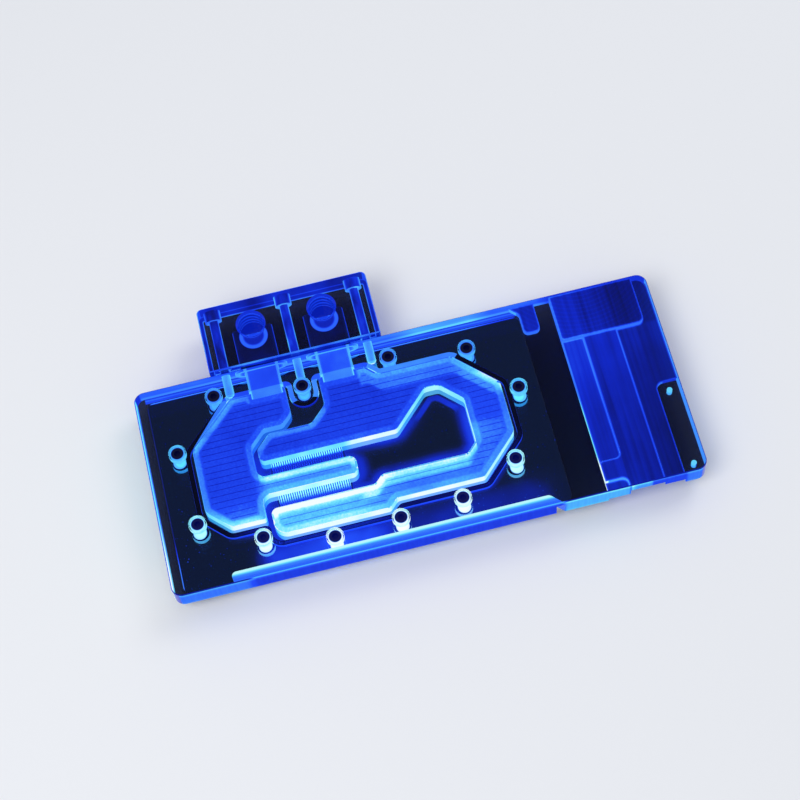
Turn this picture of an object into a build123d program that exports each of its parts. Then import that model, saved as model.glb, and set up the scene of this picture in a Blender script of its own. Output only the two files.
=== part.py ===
"""Full-cover water block for a graphics card.

A clear acrylic cover with milled water channels is screwed onto a finned, nickel-plated copper
plate. A separate port block with two G1/4 threads is screwed to the cover's far edge, and a
strip of lights stands in a slot along the near edge.

Everything is drawn from the cover's near left corner: X runs along the long side, Y towards the
port block, and Z = 0 is the cover's top face. Each piece is moved to the part's own origin, the
middle of the whole block's underside, when it is written.
"""
import os
from math import sqrt

from build123d import *

# Cover plate
COVER_LENGTH = 250.0
COVER_WIDTH = 105.4
COVER_THICK = 11.0
COVER_CORNER = 5.0
EDGE_BREAK = 0.4
OVER = 1.0

# Corner radii that the milling cutters leave
TIGHT = 1.5
SMALL = 2.5
MEDIUM = 3.0
FULL = 3.5
WIDE = 4.0
ROUND_END = 6.0

# Cold plate under the cover
COLD_THICK = 6.0
COLD_LEFT_INSET = 4.7
COLD_EDGE_INSET = 3.1
COLD_LENGTH = 182.5
COLD_EDGE_BREAK = 0.3

# Processor under the cold plate, which the fins and channels are laid out around
CORE_X = 73.0
CORE_Y = 0.4213 * COVER_WIDTH

# Water channels, milled from the cover's underside, with what lies across the cover as a share of
# its width
CHANNEL_DEPTH = 7.0
MIDDLE_FINGER = 0.0882 * COVER_WIDTH
RIB = 0.0721 * COVER_WIDTH
SIDE_FINGER = 0.1271 * COVER_WIDTH
FINGER_END = 95.0
THIN_WALL = 2.6
SPLIT_X = 48.9
INLET_LEFT = 22.0
INLET_NEAR = 0.2666 * COVER_WIDTH
INLET_NEAR_CUT = 0.0977 * COVER_WIDTH
INLET_FAR_CUT = 0.2106 * COVER_WIDTH
CHANNEL_FAR_INSET = 12.9
HEADER_GAP = 3.0
HEADER_CUT = 7.4
HEADER_SLOPE = 5.2
OUTLET_RIGHT = 169.2
OUTLET_NEAR_STEP = 4.1
OUTLET_NEAR_CUT = 0.1784 * COVER_WIDTH
OUTLET_FAR_STEP = 5.2
OUTLET_FAR_CUT = 0.1822 * COVER_WIDTH
OUTLET_UPPER_CUT = 6.8
STEP_X = 105.0
ISLAND_GAP = 11.8
ISLAND_SLOPE = 17.1
ISLAND_FLAT = 6.9
ISLAND_SHOULDER = 10.1
ISLAND_TOP = 0.7021 * COVER_WIDTH
ISLAND_NEAR = 0.3435 * COVER_WIDTH
ISLAND_CUT = 5.2
BRIDGE_SHIFT = 0.4
BRIDGE_HALF = 8.15
BRIDGE_CUT = 8.0

# Cooling fins
FIN_FIELD = 34.0
FIN_PITCH = 1.06
FIN_GAP = 0.5
FIN_DEPTH = 3.4
SAW_RADIUS = 15.0
FIN_FLAT = 17.0

# Necks that join the channels to the port block
PORT_MIDDLE = 79.2
PORT_SPACING = 34.6
NECK_WIDTH = 16.0
NECK_HEIGHT = 4.4
NECK_LEVEL = 5.5
NECK_SHOULDER = 5.0
NECK_LAP = 3.0

# Port block
BLOCK_LEFT = 37.7
BLOCK_WIDTH = 83.1
BLOCK_DEPTH = 34.6
BLOCK_RISE = 4.0
BLOCK_CHAMFER = 2.0
BLOCK_CORNER = 2.6
PORT_INSET = 20.6
PORT_BORE = 12.3
PORT_MOUTH = 14.3
PORT_DEPTH = 10.0
DUCT_WIDTH = 19.4
DUCT_HEIGHT = 5.4

# Long screws that hold the port block
BLOCK_SCREW_SPACING = 34.5
BLOCK_SCREW_LENGTH = 35.0
BLOCK_SCREW_SINK = 5.5
BLOCK_TAP_DEPTH = 10.8
BLOCK_HEAD_CLEARANCE = 0.5

# Socket head screws, M4
SCREW_RADIUS = 1.95
HEAD_RADIUS = 3.5
HEAD_HEIGHT = 4.0
SOCKET_RADIUS = 1.7
SOCKET_DEPTH = 2.2
HEAD_SINK = 0.6
HEAD_CHAMFER = 0.4
TIP_CHAMFER = 0.5
COVER_SCREW_LENGTH = 10.0
TAP_CLEARANCE = 0.05
SHANK_CLEARANCE = 0.3
HEAD_CLEARANCE = 0.6
TAP_SPARE = 0.4

# Cover screws: how far each stands from a corner of the channels, along X and Y
FAR_LEFT_SCREW = (-7.1, 2.5)
LEFT_SCREW = (-7.0, -0.2)
NEAR_LEFT_SCREW = (-4.5, 4.6)
SPLIT_SCREW = (-3.4, 0.0)
FINGER_SCREW = (-17.7, -8.0)
STEP_SCREW = (3.4, -6.5)
NEAR_RIGHT_SCREW = (-12.4, -8.4)
LOW_RIGHT_SCREW = (-3.0, 4.5)
RIGHT_SCREW = (7.7, -5.6)
HIGH_RIGHT_SCREW = (-10.9, 1.3)
FAR_RIGHT_SCREW = (6.7, 6.6)

# Rubber seals
SEAL_GROOVE = 2.3
SEAL_WIDTH = 2.1
SEAL_GROOVE_DEPTH = 1.6
SEAL_SQUEEZE = 0.02
SEAL_GAP = 2.9
SEAL_INNER_BEND = 1.8
SEAL_CHAMFER = 0.45
SEAL_DIP_HALF = 5.9
SEAL_DIP_BEND = 5.8
SEAL_DIP_SHOULDER = 2.2
SEAL_DIP_DEPTH = 12.9
PORT_SEAL_GROOVE = 1.8
PORT_SEAL_WIDTH = 1.7
PORT_SEAL_HALF_WIDTH = 11.7
PORT_SEAL_HALF_HEIGHT = 3.8
PORT_SEAL_DEPTH = 1.3
PORT_SEAL_CHAMFER = 0.35

# Light strip and the slot that it stands in
SLOT_LEFT_SPARE = 8.1
SLOT_RIGHT_SPARE = 8.8
SLOT_NEAR_WALL = 1.8
SLOT_WIDTH = 4.2
SLOT_DEPTH = 8.0
SLOT_END_RADIUS = 2.05
SLOT_EXIT_CORNER = 0.5
SLOT_EXIT_CUT = 7.0
STRIP_LEFT = 36.0
STRIP_LENGTH = 133.4
STRIP_HEIGHT = 7.2
STRIP_LIFT = 0.2
STRIP_THICK = 0.3
TAPE_THICK = 0.2
TAPE_CLEARANCE = 0.01
TAPE_INSET = 0.3
LIGHT_COUNT = 16
LIGHT_WIDTH = 3.5
LIGHT_HEIGHT = 2.8
LIGHT_THICK = 1.3
LENS_RADIUS = 1.1
LENS_DEPTH = 0.3
LIGHTS_PER_RESISTOR = 3
RESISTOR_SIZE = (2.0, 0.6, 1.2)

# Relief pockets for the card's own parts, at the cover's free end
RELIEF_GAP = 15.8
POCKET_LAP = 3.0
TALL_LENGTH = 40.3
TALL_WIDTH = 24.0
TALL_DEPTH = 7.5
LOW_LENGTH = 10.3
LOW_NEAR = 16.6
LOW_DEPTH = 4.0
COIL_LENGTH = 16.3
COIL_DEPTH = 5.6
RIM_LENGTH = 9.8
RIM_DEPTH = 3.1
PLUG_FAR = 6.5
PLUG_DEPTH = 2.0
PAD_FAR = 49.4
NOTCH_WIDTH = 8.0
NOTCH_LENGTH = 14.8
NOTCH_DEPTH = 4.0
NOTCH_FLARE = 4.0
PAD_HOLE_RADIUS = 1.25
PAD_HOLE_DEPTH = 5.0
PAD_HOLE_INSET = 5.4

# Underside of the cold plate
CORE_LAND = 32.0
CORE_LAND_RISE = 0.9
MEMORY_LAND = (14.0, 12.0)
MEMORY_LAND_RISE = 0.4
MEMORY_GAP = 4.0
MEMORY_SPREAD = 9.5
POWER_LAND = (13.0, 74.0)
POWER_LAND_X = 146.0
POWER_SHIFT = 8.0
COIL_RECESS = (15.0, 78.0)
COIL_RECESS_X = 165.0
COIL_RECESS_DEPTH = 1.4
STANDOFF_SPACING = 58.4
STANDOFF_INSET = 5.5
STANDOFF_SHIFT = 34.0
STANDOFF_CHAMFER = 0.3
STANDOFF_WEB = 0.3
SPIGOT_SPARE = 0.1
STANDOFF_RADIUS = 2.75
STANDOFF_HEIGHT = 1.9
STANDOFF_SPIGOT = 1.5
STANDOFF_SPIGOT_LENGTH = 1.6
STANDOFF_BORE = 1.05

# Sizes worked out from the ones above
UNDERSIDE = -COVER_THICK
COLD_BOTTOM = UNDERSIDE - COLD_THICK
COLD_LEFT = COLD_LEFT_INSET
COLD_RIGHT = COLD_LEFT + COLD_LENGTH
COLD_NEAR = COLD_EDGE_INSET
COLD_FAR = COVER_WIDTH - COLD_EDGE_INSET
REST_LEVEL = COLD_BOTTOM - STANDOFF_HEIGHT
BLOCK_FAR = COVER_WIDTH + BLOCK_DEPTH
PORT_Y = COVER_WIDTH + PORT_INSET
CHANNEL_FAR = COVER_WIDTH - CHANNEL_FAR_INSET
HEAD_SEAT = -HEAD_SINK - HEAD_HEIGHT
LEDGE_Y = BLOCK_FAR - BLOCK_SCREW_SINK
SLOT_LEFT = STRIP_LEFT - SLOT_LEFT_SPARE
SLOT_RIGHT = STRIP_LEFT + STRIP_LENGTH + SLOT_RIGHT_SPARE
SLOT_FAR = SLOT_NEAR_WALL + SLOT_WIDTH
PORTS = [PORT_MIDDLE - PORT_SPACING / 2, PORT_MIDDLE + PORT_SPACING / 2]
BLOCK_SCREWS = [PORT_MIDDLE - BLOCK_SCREW_SPACING, PORT_MIDDLE, PORT_MIDDLE + BLOCK_SCREW_SPACING]
BRIDGE_MIDDLE = PORT_MIDDLE - BRIDGE_SHIFT
RELIEF_LEFT = COLD_RIGHT + RELIEF_GAP
LOW_STEP = RELIEF_LEFT + LOW_LENGTH
COIL_RIGHT = LOW_STEP + COIL_LENGTH
PAD_LEFT = COIL_RIGHT + RIM_LENGTH
TALL_NEAR = COVER_WIDTH - TALL_WIDTH

# The finger channels lie one after another across the fins
MIDDLE_NEAR = CORE_Y - MIDDLE_FINGER / 2
MIDDLE_FAR = CORE_Y + MIDDLE_FINGER / 2
UPPER_NEAR = MIDDLE_FAR + RIB
UPPER_FAR = UPPER_NEAR + SIDE_FINGER
LOWER_FAR = MIDDLE_NEAR - RIB
LOWER_NEAR = LOWER_FAR - SIDE_FINGER
OUTLET_LEFT = SPLIT_X + THIN_WALL
OUTLET_NEAR = LOWER_NEAR + OUTLET_NEAR_STEP
OUTLET_FAR = CHANNEL_FAR - OUTLET_FAR_STEP
BRIDGE_LEFT = BRIDGE_MIDDLE - BRIDGE_HALF
BRIDGE_RIGHT = BRIDGE_MIDDLE + BRIDGE_HALF
HEADER_NEAR = UPPER_FAR + HEADER_GAP
ISLAND_LEFT = STEP_X + ISLAND_GAP
ISLAND_TOP_LEFT = ISLAND_LEFT + ISLAND_SLOPE
ISLAND_TOP_RIGHT = ISLAND_TOP_LEFT + ISLAND_FLAT
ISLAND_RIGHT = ISLAND_TOP_RIGHT + ISLAND_SHOULDER
OUTLET_TOP_RIGHT = PORTS[1] + NECK_WIDTH / 2 + NECK_SHOULDER

# Standoffs that the card's board is screwed to, round the processor and near the plate's edges
CORE_STANDOFFS = [
    (CORE_X + side * STANDOFF_SPACING / 2, CORE_Y + end * STANDOFF_SPACING / 2)
    for side in (-1, 1)
    for end in (-1, 1)
]
COLD_MIDDLE = (COLD_LEFT + COLD_RIGHT) / 2
BOARD_STANDOFFS = [
    (x, y)
    for x in (COLD_LEFT + STANDOFF_INSET, COLD_MIDDLE + STANDOFF_SHIFT, COLD_RIGHT - STANDOFF_INSET)
    for y in (COLD_NEAR + STANDOFF_INSET, COLD_FAR - STANDOFF_INSET)
]


def outline(corners):
    """Flat face with rounded corners, each given as x, y and radius."""
    path = FilletPolyline(
        *[(x, y) for x, y, _ in corners],
        radius=[radius for _, _, radius in corners],
        close=True,
    )
    return Face(Wire(path.edges()))


def prism(face, bottom, top):
    """Upright solid on a flat face, between two heights."""
    return extrude(Pos(0, 0, bottom) * face, amount=top - bottom, dir=(0, 0, 1))


def block(x0, y0, z0, x1, y1, z1):
    """Plain block between two corners."""
    return Pos((x0 + x1) / 2, (y0 + y1) / 2, (z0 + z1) / 2) * Box(x1 - x0, y1 - y0, z1 - z0)


def pin(x, y, radius, bottom, top):
    """Upright cylinder, or the hole that it makes."""
    return Pos(x, y, (bottom + top) / 2) * Cylinder(radius, top - bottom)


def bar(section, x, z, near, far):
    """Section drawn in X and Z, drawn out along Y."""
    plane = Plane(origin=(x, near, z), x_dir=(1, 0, 0), z_dir=(0, 1, 0))
    return extrude(plane * section, amount=far - near, dir=(0, 1, 0))


def outset(corners, gap):
    """Counterclockwise corners moved out by a gap, with their radii to match."""
    moved = []
    for i, (x, y, radius) in enumerate(corners):
        here = Vector(x, y)
        arrive = (here - Vector(*corners[i - 1][:2])).normalized()
        leave = (Vector(*corners[(i + 1) % len(corners)][:2]) - here).normalized()
        out_a = Vector(arrive.Y, -arrive.X)
        out_b = Vector(leave.Y, -leave.X)
        spot = here + (out_a + out_b) * (gap / (1 + out_a.dot(out_b)))
        turns_left = arrive.X * leave.Y - arrive.Y * leave.X > 0
        bend = radius + gap if turns_left else max(radius - gap, SEAL_INNER_BEND)
        moved.append((spot.X, spot.Y, bend))
    return moved


def inlet_corners():
    """Channel from the left port, round the left end and in along the middle of the fins."""
    return [
        (INLET_LEFT + INLET_NEAR_CUT, INLET_NEAR, MEDIUM),
        (SPLIT_X, INLET_NEAR, TIGHT),
        (SPLIT_X, MIDDLE_NEAR, WIDE),
        (FINGER_END, MIDDLE_NEAR, FULL),
        (FINGER_END, MIDDLE_FAR, FULL),
        (SPLIT_X, MIDDLE_FAR, WIDE),
        (SPLIT_X, HEADER_NEAR - HEADER_CUT, FULL),
        (SPLIT_X + HEADER_CUT, HEADER_NEAR, FULL),
        (BRIDGE_LEFT - HEADER_SLOPE, HEADER_NEAR, MEDIUM),
        (BRIDGE_LEFT, HEADER_NEAR + HEADER_SLOPE, WIDE),
        (BRIDGE_LEFT, CHANNEL_FAR, TIGHT),
        (INLET_LEFT + INLET_FAR_CUT, CHANNEL_FAR, MEDIUM),
        (INLET_LEFT, CHANNEL_FAR - INLET_FAR_CUT, WIDE),
        (INLET_LEFT, INLET_NEAR + INLET_NEAR_CUT, FULL),
    ]


def outlet_corners():
    """Channel from both outer rows of fins, round the island and out to the right port."""
    return [
        (OUTLET_LEFT, LOWER_NEAR, ROUND_END),
        (STEP_X, LOWER_NEAR, MEDIUM),
        (STEP_X + OUTLET_NEAR_STEP, OUTLET_NEAR, MEDIUM),
        (OUTLET_RIGHT - OUTLET_NEAR_CUT, OUTLET_NEAR, SMALL),
        (OUTLET_RIGHT, OUTLET_NEAR + OUTLET_NEAR_CUT, FULL),
        (OUTLET_RIGHT, OUTLET_FAR - OUTLET_FAR_CUT, MEDIUM),
        (OUTLET_RIGHT - OUTLET_FAR_CUT, OUTLET_FAR, MEDIUM),
        (OUTLET_TOP_RIGHT + OUTLET_FAR_STEP, OUTLET_FAR, WIDE),
        (OUTLET_TOP_RIGHT, CHANNEL_FAR, TIGHT),
        (BRIDGE_RIGHT, CHANNEL_FAR, TIGHT),
        (BRIDGE_RIGHT, UPPER_FAR + BRIDGE_CUT, WIDE),
        (BRIDGE_RIGHT - BRIDGE_CUT, UPPER_FAR, WIDE),
        (OUTLET_LEFT + OUTLET_UPPER_CUT, UPPER_FAR, MEDIUM),
        (OUTLET_LEFT, UPPER_FAR - OUTLET_UPPER_CUT, SMALL),
        (OUTLET_LEFT, UPPER_NEAR, SMALL),
        (ISLAND_LEFT, UPPER_NEAR, FULL),
        (ISLAND_TOP_LEFT, ISLAND_TOP, FULL),
        (ISLAND_TOP_RIGHT, ISLAND_TOP, FULL),
        (ISLAND_RIGHT, ISLAND_TOP - ISLAND_SHOULDER, MEDIUM),
        (ISLAND_RIGHT, ISLAND_NEAR + ISLAND_CUT, SMALL),
        (ISLAND_RIGHT - ISLAND_CUT, ISLAND_NEAR, MEDIUM),
        (STEP_X, ISLAND_NEAR, WIDE),
        (STEP_X - (ISLAND_NEAR - LOWER_FAR), LOWER_FAR, WIDE),
        (OUTLET_LEFT, LOWER_FAR, MEDIUM),
    ]


def cover_screw_places():
    """Axes of the twelve cover screws, round the outside of the seal and one in its dip."""
    beside = [
        (INLET_LEFT + INLET_FAR_CUT, CHANNEL_FAR, FAR_LEFT_SCREW),
        (INLET_LEFT, CHANNEL_FAR - INLET_FAR_CUT, LEFT_SCREW),
        (INLET_LEFT, INLET_NEAR, NEAR_LEFT_SCREW),
        (SPLIT_X, LOWER_NEAR, SPLIT_SCREW),
        (FINGER_END, LOWER_NEAR, FINGER_SCREW),
        (STEP_X, LOWER_NEAR, STEP_SCREW),
        (OUTLET_RIGHT - OUTLET_NEAR_CUT, OUTLET_NEAR, NEAR_RIGHT_SCREW),
        (OUTLET_RIGHT, OUTLET_NEAR, LOW_RIGHT_SCREW),
        (OUTLET_RIGHT, OUTLET_FAR - OUTLET_FAR_CUT, RIGHT_SCREW),
        (OUTLET_RIGHT, OUTLET_FAR, HIGH_RIGHT_SCREW),
        (OUTLET_TOP_RIGHT + OUTLET_FAR_STEP, OUTLET_FAR, FAR_RIGHT_SCREW),
    ]
    places = [(x + shift[0], y + shift[1]) for x, y, shift in beside]
    return places + [(BRIDGE_MIDDLE, CHANNEL_FAR - SEAL_GAP)]


def seal_corners():
    """Middle line of the main seal: round both channels, with a dip round the middle screw."""
    inlet = inlet_corners()
    outlet = outlet_corners()
    hull = [(OUTLET_LEFT, LOWER_NEAR, MEDIUM)] + outlet[1:9] + inlet[11:] + inlet[:1]
    corners = outset(hull + [(OUTLET_LEFT, INLET_NEAR, TIGHT)], SEAL_GAP)
    level = CHANNEL_FAR + SEAL_GAP
    dip = [
        (BRIDGE_MIDDLE + SEAL_DIP_HALF, level, SEAL_DIP_SHOULDER),
        (BRIDGE_MIDDLE + SEAL_DIP_HALF, level - SEAL_DIP_DEPTH, SEAL_DIP_BEND),
        (BRIDGE_MIDDLE - SEAL_DIP_HALF, level - SEAL_DIP_DEPTH, SEAL_DIP_BEND),
        (BRIDGE_MIDDLE - SEAL_DIP_HALF, level, SEAL_DIP_SHOULDER),
    ]
    return corners[:9] + dip + corners[9:]


def band(face, width, depth):
    """Groove of a given width along a face's outline, cut upwards from the cover's underside."""
    ring = offset(face, width / 2) - offset(face, -width / 2)
    return prism(ring, UNDERSIDE - OVER, UNDERSIDE + depth)


def slab(corners, bottom, top, edge_break):
    """Plate on a rounded outline with its sharp edges broken."""
    plate = prism(outline(corners), bottom, top)
    rims = plate.faces().filter_by(Axis.Z).edges()
    return chamfer(rims, edge_break)


def rectangle(x0, y0, x1, y1, radius):
    """Corners of a rectangle, all with one radius."""
    return [(x0, y0, radius), (x1, y0, radius), (x1, y1, radius), (x0, y1, radius)]


def relief_pockets():
    """Pockets under the free end, over the parts that stand up from the card."""
    far = COVER_WIDTH + OVER
    end = COVER_LENGTH + OVER
    plug_far = PLUG_FAR + POCKET_LAP
    coil_far = TALL_NEAR + POCKET_LAP
    tall = [
        (RELIEF_LEFT, TALL_NEAR, TIGHT),
        (RELIEF_LEFT + TALL_LENGTH, TALL_NEAR, MEDIUM),
        (RELIEF_LEFT + TALL_LENGTH, far, 0),
        (RELIEF_LEFT, far, 0),
    ]
    low = rectangle(RELIEF_LEFT, plug_far, LOW_STEP + POCKET_LAP, coil_far, 0)
    plug = rectangle(RELIEF_LEFT, -OVER, LOW_STEP + POCKET_LAP, plug_far, 0)
    coil = [
        (RELIEF_LEFT, PLUG_FAR, 0),
        (LOW_STEP, PLUG_FAR, MEDIUM),
        (LOW_STEP, -OVER, 0),
        (COIL_RIGHT, -OVER, 0),
        (COIL_RIGHT, coil_far, 0),
        (LOW_STEP, coil_far, 0),
        (LOW_STEP, LOW_NEAR, SMALL),
        (RELIEF_LEFT, LOW_NEAR, TIGHT),
    ]
    rim = [
        (COIL_RIGHT - POCKET_LAP, -OVER, 0),
        (PAD_LEFT, -OVER, 0),
        (PAD_LEFT, PAD_FAR, FULL),
        (end, PAD_FAR, 0),
        (end, far, 0),
        (COIL_RIGHT - POCKET_LAP, far, 0),
    ]
    notch = [
        (COLD_RIGHT, COVER_WIDTH - NOTCH_LENGTH, SMALL),
        (COLD_RIGHT + NOTCH_WIDTH, COVER_WIDTH - NOTCH_LENGTH, SMALL),
        (COLD_RIGHT + NOTCH_WIDTH, far, 0),
        (COLD_RIGHT - NOTCH_FLARE - OVER, far, 0),
        (COLD_RIGHT, COVER_WIDTH - NOTCH_FLARE, FULL),
    ]
    cuts = [
        (tall, TALL_DEPTH),
        (low, LOW_DEPTH),
        (plug, PLUG_DEPTH),
        (coil, COIL_DEPTH),
        (rim, RIM_DEPTH),
        (notch, NOTCH_DEPTH),
    ]
    return [prism(outline(corners), UNDERSIDE - OVER, UNDERSIDE + depth) for corners, depth in cuts]


def light_slot():
    """Slot for the light strip, open below, with its way out through the near edge."""
    corners = [
        (SLOT_LEFT, SLOT_NEAR_WALL, SLOT_END_RADIUS),
        (SLOT_RIGHT, SLOT_NEAR_WALL, SLOT_EXIT_CORNER),
        (SLOT_RIGHT, -OVER, 0),
        (SLOT_RIGHT + SLOT_EXIT_CUT - SLOT_NEAR_WALL, -OVER, 0),
        (SLOT_RIGHT - SLOT_NEAR_WALL, SLOT_FAR, MEDIUM),
        (SLOT_LEFT, SLOT_FAR, SLOT_END_RADIUS),
    ]
    return prism(outline(corners), UNDERSIDE - OVER, UNDERSIDE + SLOT_DEPTH)


def cover_plate():
    """Clear cover: channels, necks, seal grooves, screw holes, light slot and relief pockets."""
    cover = slab(rectangle(0, 0, COVER_LENGTH, COVER_WIDTH, COVER_CORNER), UNDERSIDE, 0, EDGE_BREAK)
    for corners in (inlet_corners(), outlet_corners()):
        cover -= prism(outline(corners), UNDERSIDE - OVER, UNDERSIDE + CHANNEL_DEPTH)
    for x in PORTS:
        neck = SlotOverall(NECK_WIDTH, NECK_HEIGHT)
        cover -= bar(neck, x, -NECK_LEVEL, CHANNEL_FAR - NECK_LAP, COVER_WIDTH + OVER)
        cover -= port_seal_ring(x, PORT_SEAL_GROOVE, PORT_SEAL_DEPTH + OVER)
    cover -= band(outline(seal_corners()), SEAL_GROOVE, SEAL_GROOVE_DEPTH)
    for x in BLOCK_SCREWS:
        tap = SCREW_RADIUS + TAP_CLEARANCE
        cover -= bar(Circle(tap), x, -NECK_LEVEL, COVER_WIDTH - BLOCK_TAP_DEPTH, COVER_WIDTH + OVER)
        point = Pos(x, COVER_WIDTH - BLOCK_TAP_DEPTH - tap / 4, -NECK_LEVEL) * Rot(90, 0, 0)
        cover -= point * Cone(tap, tap / 2, tap / 2)
    for x, y in cover_screw_places():
        cover -= pin(x, y, SCREW_RADIUS + SHANK_CLEARANCE, UNDERSIDE - OVER, OVER)
        cover -= pin(x, y, HEAD_RADIUS + HEAD_CLEARANCE, HEAD_SEAT, OVER)
    cover -= light_slot()
    for pocket in relief_pockets():
        cover -= pocket
    for y in (PAD_HOLE_INSET, PAD_FAR - PAD_HOLE_INSET):
        x = COVER_LENGTH - PAD_HOLE_INSET
        cover -= pin(x, y, PAD_HOLE_RADIUS, UNDERSIDE - OVER, UNDERSIDE + PAD_HOLE_DEPTH)
    return cover


def port_block():
    """Clear block with two threaded ports, a duct from each to the cover, and three screw holes."""
    right = BLOCK_LEFT + BLOCK_WIDTH
    body = block(BLOCK_LEFT, COVER_WIDTH, UNDERSIDE, right, BLOCK_FAR, BLOCK_RISE)
    uprights = body.edges().filter_by(Axis.Z).group_by(Axis.Y)[-1]
    body = fillet(uprights, BLOCK_CORNER)
    near_edges = body.edges().group_by(Axis.Y)[0]
    underside = [e for e in body.faces().sort_by(Axis.Z)[0].edges() if e not in near_edges]
    body = chamfer(underside, BLOCK_CHAMFER)
    top = body.faces().sort_by(Axis.Z)[-1].edges()
    body = chamfer(top, EDGE_BREAK)
    for x in PORTS:
        body -= pin(x, PORT_Y, PORT_BORE / 2, BLOCK_RISE - PORT_DEPTH, BLOCK_RISE + OVER)
        flare = (PORT_MOUTH - PORT_BORE) / 2
        body -= Pos(x, PORT_Y, BLOCK_RISE - flare / 2) * Cone(PORT_BORE / 2, PORT_MOUTH / 2, flare)
        body -= bar(SlotOverall(DUCT_WIDTH, DUCT_HEIGHT), x, -NECK_LEVEL, COVER_WIDTH - OVER, PORT_Y)
    for x in BLOCK_SCREWS:
        shank = Circle(SCREW_RADIUS + SHANK_CLEARANCE)
        body -= bar(shank, x, -NECK_LEVEL, COVER_WIDTH - OVER, BLOCK_FAR + OVER)
        head = Circle(HEAD_RADIUS + BLOCK_HEAD_CLEARANCE)
        body -= bar(head, x, -NECK_LEVEL, LEDGE_Y, BLOCK_FAR + OVER)
    return body


def port_seal_ring(x, width, depth):
    """Long round ring about a neck, on the cover's far face, or the groove that holds it."""
    size_x = 2 * PORT_SEAL_HALF_WIDTH
    size_z = 2 * PORT_SEAL_HALF_HEIGHT
    ring = SlotOverall(size_x + width, size_z + width) - SlotOverall(size_x - width, size_z - width)
    return bar(ring, x, -NECK_LEVEL, COVER_WIDTH - PORT_SEAL_DEPTH, COVER_WIDTH - PORT_SEAL_DEPTH + depth)


def port_seal(x):
    """Rubber ring between the cover and the port block."""
    ring = port_seal_ring(x, PORT_SEAL_WIDTH, PORT_SEAL_DEPTH - SEAL_SQUEEZE)
    return chamfer(ring.edges().filter_by(GeomType.CIRCLE), PORT_SEAL_CHAMFER)


def main_seal():
    """Rubber ring in the cover's underside, squeezed to the depth of its groove."""
    face = outline(seal_corners())
    ring = prism(
        offset(face, SEAL_WIDTH / 2) - offset(face, -SEAL_WIDTH / 2),
        UNDERSIDE + SEAL_SQUEEZE,
        UNDERSIDE + SEAL_GROOVE_DEPTH,
    )
    rims = ring.faces().filter_by(Axis.Z).edges()
    return chamfer(rims, SEAL_CHAMFER)


def fin_slots():
    """Slots between the fins, each with the round ends that a slitting saw leaves."""
    run_out = sqrt(SAW_RADIUS**2 - (SAW_RADIUS - FIN_DEPTH) ** 2)
    half = FIN_FLAT / 2
    middle_drop = SAW_RADIUS - sqrt(SAW_RADIUS**2 - (run_out / 2) ** 2)
    top = FIN_DEPTH + OVER
    saw_path = [
        Line((-half, 0), (half, 0)),
        ThreePointArc((half, 0), (half + run_out / 2, middle_drop), (half + run_out, FIN_DEPTH)),
        Line((half + run_out, FIN_DEPTH), (half + run_out, top)),
        Line((half + run_out, top), (-half - run_out, top)),
        Line((-half - run_out, top), (-half - run_out, FIN_DEPTH)),
        ThreePointArc((-half - run_out, FIN_DEPTH), (-half - run_out / 2, middle_drop), (-half, 0)),
    ]
    profile = make_face(saw_path)
    count = int(FIN_FIELD / FIN_PITCH)
    first = CORE_X - (count - 1) * FIN_PITCH / 2 - FIN_GAP / 2
    slots = []
    for i in range(count):
        plane = Plane(
            origin=(first + i * FIN_PITCH, CORE_Y, UNDERSIDE - FIN_DEPTH), x_dir=(0, 1, 0), z_dir=(1, 0, 0)
        )
        slots.append(extrude(plane * profile, amount=FIN_GAP, dir=(1, 0, 0)))
    return slots


def land(x, y, size_x, size_y, rise):
    """Raised land on the cold plate's underside, centred at x and y."""
    low = COLD_BOTTOM - rise
    return block(x - size_x / 2, y - size_y / 2, low, x + size_x / 2, y + size_y / 2, COLD_BOTTOM)


def underside_lands():
    """Raised lands that meet the processor, the memory chips and the power transistors."""
    lands = [land(CORE_X, CORE_Y, CORE_LAND, CORE_LAND, CORE_LAND_RISE)]
    along, across = MEMORY_LAND
    reach = CORE_LAND / 2 + MEMORY_GAP + across / 2
    for spread in (-MEMORY_SPREAD, MEMORY_SPREAD):
        for out in (-reach, reach):
            lands.append(land(CORE_X + spread, CORE_Y + out, along, across, MEMORY_LAND_RISE))
            lands.append(land(CORE_X + out, CORE_Y + spread, across, along, MEMORY_LAND_RISE))
    wide, long = POWER_LAND
    lands.append(land(POWER_LAND_X, CORE_Y + POWER_SHIFT, wide, long, MEMORY_LAND_RISE))
    return lands


def cold_plate():
    """Nickel-plated copper plate with sawn fins on top and contact lands below."""
    corners = rectangle(COLD_LEFT, COLD_NEAR, COLD_RIGHT, COLD_FAR, FULL)
    plate = slab(corners, COLD_BOTTOM, UNDERSIDE, COLD_EDGE_BREAK)
    plate -= fin_slots()
    tap = SCREW_RADIUS + TAP_CLEARANCE
    tip = HEAD_SEAT - COVER_SCREW_LENGTH - TAP_SPARE
    for x, y in cover_screw_places():
        plate -= pin(x, y, tap, tip, UNDERSIDE + OVER)
    plate += underside_lands()
    half_x, half_y = (size / 2 for size in COIL_RECESS)
    middle_y = CORE_Y + POWER_SHIFT
    recess = rectangle(
        COIL_RECESS_X - half_x, middle_y - half_y, COIL_RECESS_X + half_x, middle_y + half_y, SMALL
    )
    plate -= prism(outline(recess), COLD_BOTTOM - OVER, COLD_BOTTOM + COIL_RECESS_DEPTH)
    socket_top = COLD_BOTTOM + STANDOFF_SPIGOT_LENGTH + SPIGOT_SPARE
    for x, y in CORE_STANDOFFS + BOARD_STANDOFFS:
        plate -= pin(x, y, STANDOFF_SPIGOT + TAP_CLEARANCE, COLD_BOTTOM - OVER, socket_top)
    return plate


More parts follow.
